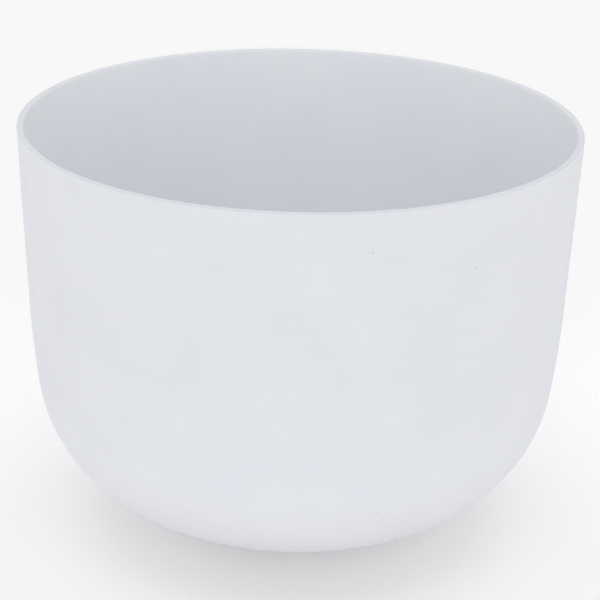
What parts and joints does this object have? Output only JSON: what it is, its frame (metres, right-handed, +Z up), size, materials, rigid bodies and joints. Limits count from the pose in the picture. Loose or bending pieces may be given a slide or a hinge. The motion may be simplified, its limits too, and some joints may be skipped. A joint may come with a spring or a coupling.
{
  "type": "singing bowl",
  "caption": "Frosted white crystal singing bowl with a flat ground rim, straight sides and a rounded base on a small flat foot.",
  "frame": {"origin": "middle of the flat foot, on the surface that the bowl stands on", "axes": "+Z up along the bowl's axis, through the mouth"},
  "size_m": [0.305, 0.305, 0.234],
  "materials": {
    "frosted_quartz": "matte"
  },
  "bodies": {
    "root": {"bowl": "frosted_quartz"}
  },
  "joints": []
}
